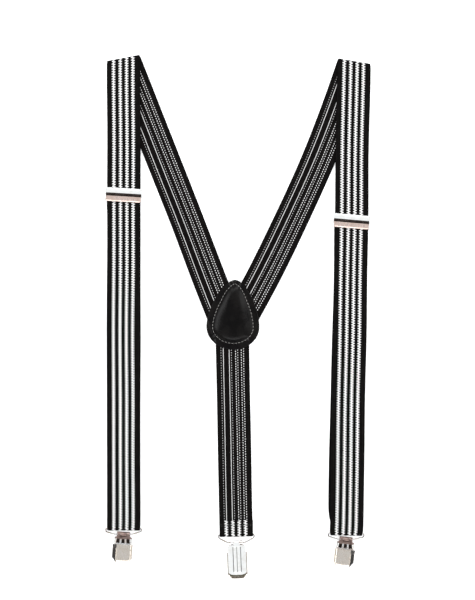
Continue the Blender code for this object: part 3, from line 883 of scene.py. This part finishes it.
def makePatch(node, name, puffed, count=120):
    outline, middle = outlineOf(node, count)
    low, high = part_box(node)
    tipY = high.y
    inward = []
    for i, point in enumerate(outline):
        ahead = outline[(i + 1) % count] - outline[i - 1]
        inward.append(up.cross(ahead).normalized())
    rim = [patch["rimAtTip"] + (patch["rim"] - patch["rimAtTip"]) * ease((tipY - p.y) / (22 * mm))
           for p in outline]
    heart = Vector((middle.x, middle.y - 8 * mm, 0))
    rings = [(share, 0.0) for share in patch["rings"]]
    rings += [(1.0, inner) for inner in (0.06, 0.14, 0.24, 0.36, 0.5, 0.65, 0.8, 0.92)]
    bm = bmesh.new()
    first = bmesh.ops.create_circle(bm, cap_ends=False, segments=count, radius=1)["verts"]
    order = sorted(first, key=lambda vert: math.atan2(vert.co.y, vert.co.x) % math.tau)
    floorLevel = patch["thickness"] * mm + 0.25 * mm

    def surface(i, ringShare, inner):
        point = outline[i] + inward[i] * rim[i] * ringShare * mm
        if inner:
            point = point.lerp(heart, inner)
        fromStitch = (point - (outline[i] + inward[i] * rim[i] * mm)).length / mm if inner else 0.0
        if not puffed:
            top = high.z - (0.35 * mm if ringShare == 0 else 0)
            dip = patch["groove"] * 0.5 * math.exp(
                -((1 - ringShare) * rim[i] / 0.8) ** 2 - (fromStitch / 0.8) ** 2)
            return Vector((point.x, point.y, top - dip * mm))
        under = max(floorLevel, strapTops(point.x, point.y) + 0.15 * mm)
        if inner:
            under = under + (low.z - under) * ease(fromStitch / 4.0)
        crown = patch["puff"] * ease(fromStitch / patch["puffReach"])
        dip = patch["groove"] * math.exp(-((1 - ringShare) * rim[i] / 0.9) ** 2 - (fromStitch / 0.9) ** 2)
        edge = 0.35 if ringShare == 0 else 0.0
        return Vector((point.x, point.y, under + (patch["thickness"] + crown - dip - edge) * mm))

    loops = [order]
    for i, vert in enumerate(order):
        vert.co = surface(i, *rings[0])
    for ringShare, inner in rings[1:]:
        edges = [bm.edges.get((loops[-1][i], loops[-1][(i + 1) % count])) for i in range(count)]
        made = bmesh.ops.extrude_edge_only(bm, edges=edges)["geom"]
        fresh = [item for item in made if isinstance(item, bmesh.types.BMVert)]
        byPlace = {vert.co.copy().freeze(): vert for vert in fresh}
        loop = [byPlace[old.co.copy().freeze()] for old in loops[-1]]
        for i, vert in enumerate(loop):
            vert.co = surface(i, ringShare, inner)
        loops.append(loop)
    bmesh.ops.contextual_create(bm, geom=[bm.edges.get((loops[-1][i], loops[-1][(i + 1) % count]))
                                          for i in range(count)])
    cap = [face for face in bm.faces if len(face.verts) > 4]
    bmesh.ops.poke(bm, faces=cap)
    bmesh.ops.smooth_vert(bm, verts=[vert for loop in loops[2:] for vert in loop], factor=0.35,
                          use_axis_x=False, use_axis_y=False, use_axis_z=True)
    stitchPoints = [vert.co.copy() + up * 0.12 * mm for vert in loops[5]]
    bmesh.ops.recalc_face_normals(bm, faces=bm.faces)
    if bm.faces[0].normal.z < 0:
        bmesh.ops.reverse_faces(bm, faces=bm.faces)
    thick = patch["thickness"] - 0.05
    walls = bmesh.ops.extrude_face_region(bm, geom=list(bm.faces))["geom"]
    for item in walls:
        if isinstance(item, bmesh.types.BMVert):
            item.co.z -= thick * mm
    bmesh.ops.recalc_face_normals(bm, faces=bm.faces)
    for face in bm.faces:
        if abs(face.normal.z) < 0.35:
            face.material_index = 1
    piece = addPiece(name, bm, (finish["leather"], finish["cutEdge"]), "straps", (node,))
    rounded(piece, 0.28, 3, 40)
    return piece, stitchPoints


upperPatch, upperLine = makePatch("inner_patch", "patch_upper_leather", True)
_, lowerLine = makePatch("outer_patch", "patch_lower_leather", False)

for name, line in (("patch_upper_stitches", upperLine), ("patch_lower_stitches", lowerLine)):
    bm = bmesh.new()
    stitchLine(bm, line + line[:1], [up] * len(line))
    addPiece(name, bm, (finish["patchThread"],), "straps")
print("patch and its stitching ready")


def crossSeam(bm, station, share, offset, lift, radius):
    # a row of stitches straight across a webbing, on its face side
    left, right, _ = station
    across = right - left
    normal = offset.normalized()
    points = [left + across * t + normal * (webbing["thickness"] / 2 + lift * mm)
              for t in steps(share, 1 - share, 12)]
    stitchLine(bm, points, [normal] * 13, {"length": 2.0, "gap": 0.7, "radius": radius})


def seamAt(node, distance):
    # the station at a distance from a webbing's end, and the way its face looks there
    stations = woven[node]["stations"]
    target = woven[node]["length"] - distance
    i = min(range(1, len(stations) - 1), key=lambda k: abs(stations[k][2] - target))
    middle = lambda k: (stations[k][0] + stations[k][1]) / 2
    normal = (stations[i][1] - stations[i][0]).cross(middle(i + 1) - middle(i - 1)) * bands[node]["faceSign"]
    return stations[i], normal


bm = bmesh.new()
for distance in (3.6 * mm, 5.4 * mm):
    station, normal = seamAt("back_strap", distance)
    crossSeam(bm, station, 0.03, normal, 0.05, 0.24)
addPiece("back_hem_stitches", bm, (finish["blackThread"],), "straps")
for side in ("left", "right"):
    bm = bmesh.new()
    for distance in (4.0 * mm, 7.0 * mm):
        station, normal = seamAt(f"{side}_strap_tail", distance)
        crossSeam(bm, station, 0.03, normal, 0.0, 0.17)
    seam = addPiece(f"{side}_tail_stitches", bm, (finish["blackThread"],), "straps")
    woven[f"{side}_strap_tail"]["seam"] = seam
print("webbing seams ready")


# rings

ringShape = {"wide": 18.45, "shoulder": 3.4, "wire": 0.85, "narrow": 9.0, "corner": 1.5}


def jointPlace(name):
    # a joint's place, and the direction opposite to its axis
    joint = joints[name]
    return Vector(joint["pos_m"]), -Vector(joint["axis"])


def wireLoop(corners, corner):
    points = []
    count = len(corners)
    for i, point in enumerate(corners):
        back = (corners[i - 1] - point).normalized() * corner
        ahead = (corners[(i + 1) % count] - point).normalized() * corner
        points += [point + back * (1 - t) ** 2 + ahead * t ** 2 for t in steps(0, 1, 6)]
    return points


def makeRing(side):
    bar, x = jointPlace(f"{side}_ring_swing")
    eye = Vector(joints[f"{side}_clip_swing"]["pos_m"])
    down = (eye - bar) / mm
    drop = down.length
    y = -down.normalized()
    place = Matrix.Translation(bar) @ Matrix((x, y, x.cross(y))).transposed().to_4x4() @ Matrix.Scale(mm, 4)
    right = [Vector((ringShape["wide"], 0, 0)), Vector((ringShape["wide"], -ringShape["shoulder"], 0)),
             Vector((ringShape["narrow"], -drop, 0))]
    corners = right + [Vector((-p.x, p.y, 0)) for p in reversed(right)]
    curve = bpy.data.curves.new(f"{side}_ring_wire", "CURVE")
    curve.dimensions = "3D"
    curve.bevel_depth = ringShape["wire"] * mm
    curve.bevel_resolution = 4
    line = wireLoop(corners, ringShape["corner"])
    spline = curve.splines.new("POLY")
    spline.points.add(len(line) - 1)
    for point, corner in zip(spline.points, line):
        point.co = (*(place @ corner), 1)
    spline.use_cyclic_u = True
    shape = bpy.data.objects.new("wireShape", curve)
    mesh = bpy.data.meshes.new_from_object(shape)
    bpy.data.objects.remove(shape)
    bm = bmesh.new()
    bm.from_mesh(mesh)
    bmesh.ops.remove_doubles(bm, verts=bm.verts, dist=0.01 * mm)
    bmesh.ops.recalc_face_normals(bm, faces=bm.faces)
    addPiece(f"{side}_wire_ring", bm, (finish["wire"],), f"{side}_ring", (f"{side}_ring",))


for side in ("left", "right", "back"):
    makeRing(side)
print("rings ready")


# adjusters

slider = {"half": 19.2, "tall": 7.1, "barLow": 1.9, "front": 5.5, "pinY": 0.5, "pinZ": 6.1, "backZ": 1.95}


def sliderPlace(side):
    pin, x = jointPlace(f"{side}_adjuster_lever_flip")
    y = up.cross(x)
    turn = Matrix((x, y, up)).transposed().to_4x4()
    return Matrix.Translation(pin - y * slider["pinY"] * mm - up * slider["pinZ"] * mm) @ turn


def makeSliderFrame(side):
    place = sliderPlace(side)
    half, tall, front = slider["half"], slider["tall"], slider["front"]
    bm = bmesh.new()
    addBlock(bm, (-half + 0.5, -2.8, slider["backZ"] - 0.35), (half - 0.5, 0.2, slider["backZ"] + 0.35), 0.3)
    for sign in (-1, 1):
        low, high = sorted((sign * half, sign * (half - 0.8)))
        addBlock(bm, (low, -tall, slider["backZ"] - 0.3), (high, tall - 0.2, 7.15), 0.36, 3)
    crown = lambda x, y, _=None: Vector((x, y, front + 0.38 + 0.55 * math.cos((y - 4.5) / 2.6 * 1.45) ** 0.7
                                         * (1 - 0.25 * (abs(x) / half) ** 6)))
    top = shapedGrid(steps(-half + 0.55, half - 0.55, 28), steps(slider["barLow"], tall, 10), crown)
    base = bmesh.ops.extrude_face_region(top, geom=list(top.faces))["geom"]
    for item in base:
        if isinstance(item, bmesh.types.BMVert):
            item.co.z = front + 0.02
    bmesh.ops.recalc_face_normals(top, faces=top.faces)
    topMesh = bpy.data.meshes.new("topBar")
    top.to_mesh(topMesh)
    top.free()
    bm.from_mesh(topMesh)
    bpy.data.meshes.remove(topMesh)
    frameFaces = len(bm.faces)
    # a dark plate across the gap below the lever's hinge: painted shade, so the webbing does not show there
    addBlock(bm, (-half + 1.0, -1.7, front - 0.22), (half - 1.0, slider["barLow"] + 0.3, front - 0.03), 0.05)
    bm.faces.ensure_lookup_table()
    for face in bm.faces[frameFaces:]:
        face.material_index = 1
    for sign in (-1, 1):  # rivet heads of the lever's hinge, outside the cheeks
        addRod(bm, (sign * (half - 0.1), slider["pinY"], slider["pinZ"]),
               (sign * (half + 0.28), slider["pinY"], slider["pinZ"]), 0.85, 20, 0.16)
    addPiece(f"{side}_adjuster_body", bm, (finish["bright"], finish["shade"]), f"{side}_adjuster",
             (f"{side}_adjuster_frame",), place)


def makeSliderLever(side):
    place = sliderPlace(side)
    half, tall, pinY, pinZ = slider["half"], slider["tall"], slider["pinY"], slider["pinZ"]
    edge = half - 1.15

    def leverSurface(x, y, _=None):
        fromEnd = max(0.0, abs(x) - (edge - 2.2)) / 2.2
        dish = 0.22 * math.cos((y + 4.0) / 3.1 * math.pi / 2)
        lip = 0.30 * ease((-5.6 - y) / 1.1)
        root = -0.2 * ease((y + 2.0) / 0.7)
        return Vector((x, y + 0.9 * fromEnd ** 3 * ease((-y - 4) / 3), pinZ + 0.72 - dish + lip + root
                       + 0.16 * fromEnd ** 2))

    bm = shapedGrid(steps(-edge, edge, 32), steps(-tall + 0.15, -1.3, 14), leverSurface)
    walls = bmesh.ops.extrude_face_region(bm, geom=list(bm.faces))["geom"]
    for item in walls:
        if isinstance(item, bmesh.types.BMVert):
            item.co.z -= 0.55
    bmesh.ops.recalc_face_normals(bm, faces=bm.faces)
    # the hinge barrel, in painted shade
    first = len(bm.faces)
    addRod(bm, (-half + 0.9, pinY, pinZ), (half - 0.9, pinY, pinZ), 0.62, 20)
    bm.faces.ensure_lookup_table()
    for face in bm.faces[first:]:
        face.material_index = 1
    addRod(bm, (-half + 0.05, pinY, pinZ), (half - 0.05, pinY, pinZ), 0.5, 16)
    piece = addPiece(f"{side}_adjuster_flap", bm, (finish["rose"], finish["shade"]), f"{side}_adjuster_lever",
                     (f"{side}_adjuster_lever",), place)
    rounded(piece, 0.14, 2, 50)


for side in ("left", "right"):
    makeSliderFrame(side)
    makeSliderLever(side)
print("adjusters ready")


# clips: y runs from the jaws up to the ring's bar, z is the lever's side

clip = {"eye": 1.9, "sheet": 0.7, "half": 9.3, "jaw": 8.2, "eyeHalf": 2.8, "knuckle": (3.2, 6.1),
        "pinY": -10.8, "pinZ": 3.9, "leverHalf": 10.05, "leverTop": 6.35, "roll": 232}
clipSizes = {
    "left": {"leaf": 26.5, "lever": 29.2, "turned": 1, "rib": 0.35, "shadeSide": -1},
    "right": {"leaf": 26.0, "lever": 28.6, "turned": 1, "rib": 0.35, "shadeSide": 1},
    "back": {"leaf": 33.0, "lever": 38.0, "turned": -1, "rib": 0.62, "shadeSide": 0},
}


def clipPlace(side):
    _, x = jointPlace(f"{side}_clip_lever_flip")
    z = up * clipSizes[side]["turned"]
    turn = Matrix((x, z.cross(x), z)).transposed().to_4x4()
    return Matrix.Translation(Vector(joints[f"{side}_clip_jaw_open"]["pos_m"])) @ turn


def rolled(x, y, level, sign):
    # a plate at height level that rolls round the ring's bar beyond y = 0
    if y <= 0:
        return Vector((x, y, level))
    a = math.pi / 2 - y / clip["eye"]
    return Vector((x, clip["eye"] * math.cos(a), sign * clip["eye"] * math.sin(a)))


def backPlate(side):
    size = clipSizes[side]
    leaf, half = size["leaf"], clip["half"]
    columns = [-9.3, -8.9, -8.0, -6.5, -5.0, -4.3, -3.8, -3.4, -2.8, -2.0, -1.3, -0.8, -0.4, 0.0]
    columns += [-x for x in reversed(columns[:-1])]
    rows = steps(-leaf, -leaf + 3, 5) + steps(-leaf + 4, -5.6, 12) + [-5.0, -4.4, -3.6, -2.6, -2.0, -1.0]
    rows += steps(0, clip["eye"] * math.radians(clip["roll"]), 14)

    def place(x, y, corner=False):
        if not corner and y > -2.6 and abs(x) > clip["eyeHalf"]:
            return None
        rib = size["rib"] * ease((abs(x) - 0.4) / 0.6) * ease((3.8 - abs(x)) / 0.6)
        rib *= ease((y + leaf - 1.6) / 1.6) * ease((-3.4 - y) / 1.6)
        curl = 0.55 * ease((abs(x) - 8.0) / 1.3) ** 2 * ease((-2.4 - y) / 1.0)
        tip = ease((-leaf + 5 - y) / 5)
        point = rolled(x, y, -clip["eye"], -1)
        point.z += curl - rib
        point.y += tip * (2.4 * (abs(x) / half) ** 4 - 0.2) + ease((y + 4.4) / 1.8) * (y <= -2.6) * -1.2 * (
            ease((abs(x) - 6.5) / 2.8))
        return point

    bm = shapedGrid(columns, rows, place)
    for face in bm.faces:
        centre = face.calc_center_median()
        # dark lines down the middle and at the foot of the rib: painted shade in its grooves
        line = abs(centre.x) < 0.35 or 3.4 < abs(centre.x) < 4.1
        if line and -leaf + 3 < centre.y < -4.6:
            face.material_index = 1
        # on the front clips the eye end is in painted shade
        if side != "back" and centre.y > -4.6:
            face.material_index = 2
    piece = addPiece(f"{side}_back_leaf", bm, (finish["bright"], finish["groove"], finish["knuckle"]),
                     f"{side}_clip",
                     (f"{side}_clip_back_plate",), clipPlace(side))
    walled(piece, clip["sheet"] - 0.08)
    rounded(piece, 0.16, 2, 50)


def shadeLiner(side):
    # painted shade: a dark sheet on the back plate that shows through the jaw's windows, and on the front
    # clips a second sheet under the eye in the knuckles' painted shade
    bm = bmesh.new()
    addBlock(bm, (-7.4, -9.9, -1.5), (7.4, -4.3, -1.15), 0.1)
    if side != "back":
        addBlock(bm, (-6.9, -4.6, -2.0), (6.9, 2.4, -1.6), 0.1)
    for face in bm.faces:
        if face.calc_center_median().y > -4.7 and face.calc_center_median().z < -1.5:
            face.material_index = 1
    addPiece(f"{side}_clip_painted_shade", bm, (finish["shade"], finish["knuckle"]), f"{side}_clip",
             (), clipPlace(side))


def ears(side):
    # the two lugs that carry the lever's pin, with a rivet head on each
    bm = bmesh.new()
    y, z, half = clip["pinY"], clip["pinZ"], clip["half"]
    for sign in (-1, 1):
        inner, outer = sorted((sign * (half - clip["sheet"]), sign * half))
        lug = bmesh.new()
        addBlock(lug, (inner, y - 1.2, -clip["eye"] + 0.2), (outer, y + 1.2, z), 0.0)
        for vert in lug.verts:
            if vert.co.z > z - 0.1:
                vert.co.y = y + (vert.co.y - y) * 0.82
        mesh = bpy.data.meshes.new("lug")
        lug.to_mesh(mesh)
        lug.free()
        bm.from_mesh(mesh)
        bpy.data.meshes.remove(mesh)
        addRod(bm, (inner, y, z), (outer, y, z), 1.0, 24)
    piece = addPiece(f"{side}_clip_ears", bm, (finish["plate"],), f"{side}_clip", (),
                     clipPlace(side))
    rounded(piece, 0.12, 2, 40)


def pinPiece(side):
    bm = bmesh.new()
    y, z = clip["pinY"], clip["pinZ"]
    reach = clip["leverHalf"] + 0.55
    addRod(bm, (-reach, y, z), (reach, y, z), 0.58, 24, 0.14)
    addPiece(f"{side}_lever_pin", bm, (finish["wire"],), f"{side}_clip",
             (f"{side}_clip_pin",),
             clipPlace(side))


def frontJaw(side):
    leaf, half = clipSizes[side]["leaf"], clip["jaw"]
    low, high = clip["knuckle"]
    columns = [-8.2, -7.8, -7.1, -6.1, -5.2, -4.4, -3.6, -3.2, -2.4, -1.7, -0.8, 0.0]
    columns += [-x for x in reversed(columns[:-1])]
    rows = steps(-leaf, -leaf + 3, 4) + steps(-leaf + 4.5, -12, 8)
    rows += [-10.8, -9.4, -8.9, -8.0, -7.0, -6.0, -5.3, -4.8]
    rows += [-4.2, -3.4, -2.6, -1.6, -0.8] + steps(0, clip["eye"] * math.radians(clip["roll"]), 14)
    windows = ((-7.1, -3.6), (-1.7, 1.7), (3.6, 7.1))

    def place(x, y, corner=False):
        if not corner:
            if y > -2.6 and not low <= abs(x) <= high:
                return None
            if -9.4 < y < -4.8 and any(a < x < b for a, b in windows):
                return None
        point = rolled(x, y, clip["eye"], 1)
        tip = ease((-leaf + 5 - y) / 5)
        neck = 1 - 0.07 * ease((y + 9.4) / 5)
        point.x *= neck if y < -2.6 else 1
        point.y += tip * 1.8 * (abs(x) / half) ** 4
        point.z -= 0.35 * ease((abs(x) - 7.1) / 1.1) * ease((-3.0 - y) / 1.0)
        return point

    bm = shapedGrid(columns, rows, place)
    for face in bm.faces:
        # on the front clips the eye end is in painted shade
        if side != "back" and face.calc_center_median().y > -4.6:
            face.material_index = 1
    piece = addPiece(f"{side}_front_leaf", bm, (finish["plate"], finish["knuckle"]), f"{side}_clip_jaw",
                     (f"{side}_clip_front_jaw",), clipPlace(side))
    walled(piece, clip["sheet"] - 0.08)
    rounded(piece, 0.16, 2, 50)


def padPieces(side):
    leaf, half = clipSizes[side]["leaf"], clip["jaw"] - 0.6
    for name, body, sign in (("back", f"{side}_clip", -1), ("front", f"{side}_clip_jaw", 1)):
        bm = bmesh.new()
        base, grip, end = 1.35, 0.3, -leaf + (0.6 if side != "back" else -1.5)
        addBlock(bm, *[tuple(f(a, b) for a, b in zip((-half, end, sign * base),
                                                     (half, end + 7.5, sign * grip)))
                       for f in (min, max)], 0.22)
        for n in range(6):  # cross ribs that bite into the waistband
            y = end + 0.9 + n * 1.15
            low, high = sorted((sign * (grip + 0.2), sign * 0.16))
            addBlock(bm, (-half + 0.5, y - 0.28, low), (half - 0.5, y + 0.28, high), 0.07, 1)
        addPiece(f"{side}_{name}_grip_pad", bm, (finish["pad"],), body,
                 (f"{side}_clip_{name}_pad",),
                 clipPlace(side))


def leverPiece(side):
    reach, half, top = clipSizes[side]["lever"], clip["leverHalf"], clip["leverTop"]
    pinY, pinZ = clip["pinY"], clip["pinZ"]
    section = [(-half, -0.4), (-half, 1.0), (-half, 2.6), (-half, 3.4), (-half + 0.05, 3.8),
               (-half + 0.3, 4.1),
               (-half + 2.0, 5.12), (-half + 3.7, 6.14), (-half + 4.1, 6.30), (-half + 4.6, top),
               (-3.0, top), (0, top)]
    byPin = section[:3] + [(-half, 4.0), (-half, 4.6), (-half, 5.05), (-half + 0.8, 5.7), (-half + 1.6, 6.3),
                           (-half + 2.6, top), (-half + 4.0, top)] + section[10:]
    section, byPin = ([*line, *((-x, z) for x, z in reversed(line[:-1]))] for line in (section, byPin))
    rows = [-reach, -reach + 0.35, -reach + 0.8, -reach + 1.5, -reach + 2.6, -reach + 4.0]
    rows += steps(-reach + 5.5, pinY - 3.4, 8)
    rows += [pinY - 2.6, pinY - 1.7, pinY - 1.0, pinY - 0.3, pinY + 0.25, pinY + 0.5]

    def place(k, y, corner=False):
        index = k * (len(section) - 1)
        low = min(int(index), len(section) - 2)
        away = ease((pinY - 1.6 - y) / 2)
        if clipSizes[side]["shadeSide"] * (k - 0.5) < 0:
            away = 0
        x, z = (a + (b - a) * away for a, b in zip(*(
            [first + (last - first) * (index - low) for first, last in zip(line[low], line[low + 1])]
            for line in (byPin, section))))
        tip = ease((-reach + 6 - y) / 6)
        outer = (abs(x) / half) ** 5
        droop = 0.9 * ease((-reach + 3.2 - y) / 3.2) ** 2
        lip = 0.12 * ease((y - pinY + 0.3) / 0.8)
        upper = ease((z - 3.9) / 2)
        narrowed = 1 - 0.035 * tip
        return Vector((x * narrowed, y + tip * 3.2 * outer * upper + tip * (1 - upper) * 5.0,
                       z - (droop + lip) * upper))

    bm = shapedGrid(steps(0, 1, len(section) - 1), rows, place)
    # the steep facet on the shade side is painted shade, in place of a dark reflection
    for face in bm.faces:
        centre = face.calc_center_median()
        if clipSizes[side]["shadeSide"] * centre.x > half - 3.75 and centre.z > 3.9:
            face.material_index = 1
    piece = addPiece(f"{side}_lever_cover", bm, (finish["lever"], finish["leverShade"]),
                     f"{side}_clip_lever",
                     (f"{side}_clip_lever",), clipPlace(side))
    walled(piece, clip["sheet"] - 0.06)
    rounded(piece, 0.14, 2, 50)
    bm = bmesh.new()
    addBlock(bm, (-half + 2.6, pinY - 2.2, pinZ - 1.35), (half - 2.6, pinY - 1.15, top - 0.1), 0.3, 3)
    addPiece(f"{side}_lever_cam", bm, (finish["plate"],), f"{side}_clip_lever", (),
             clipPlace(side))


for side in clipSizes:
    backPlate(side)
    shadeLiner(side)
    ears(side)
    pinPiece(side)
    frontJaw(side)
    padPieces(side)
    leverPiece(side)
print("clips ready")


# the doubled ends and their seams get meshes of their own

for side in ("left", "right"):
    for piece in (woven[f"{side}_strap_tail"]["piece"], woven[f"{side}_strap_tail"]["seam"]):
        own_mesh(piece)

print("all pieces made")
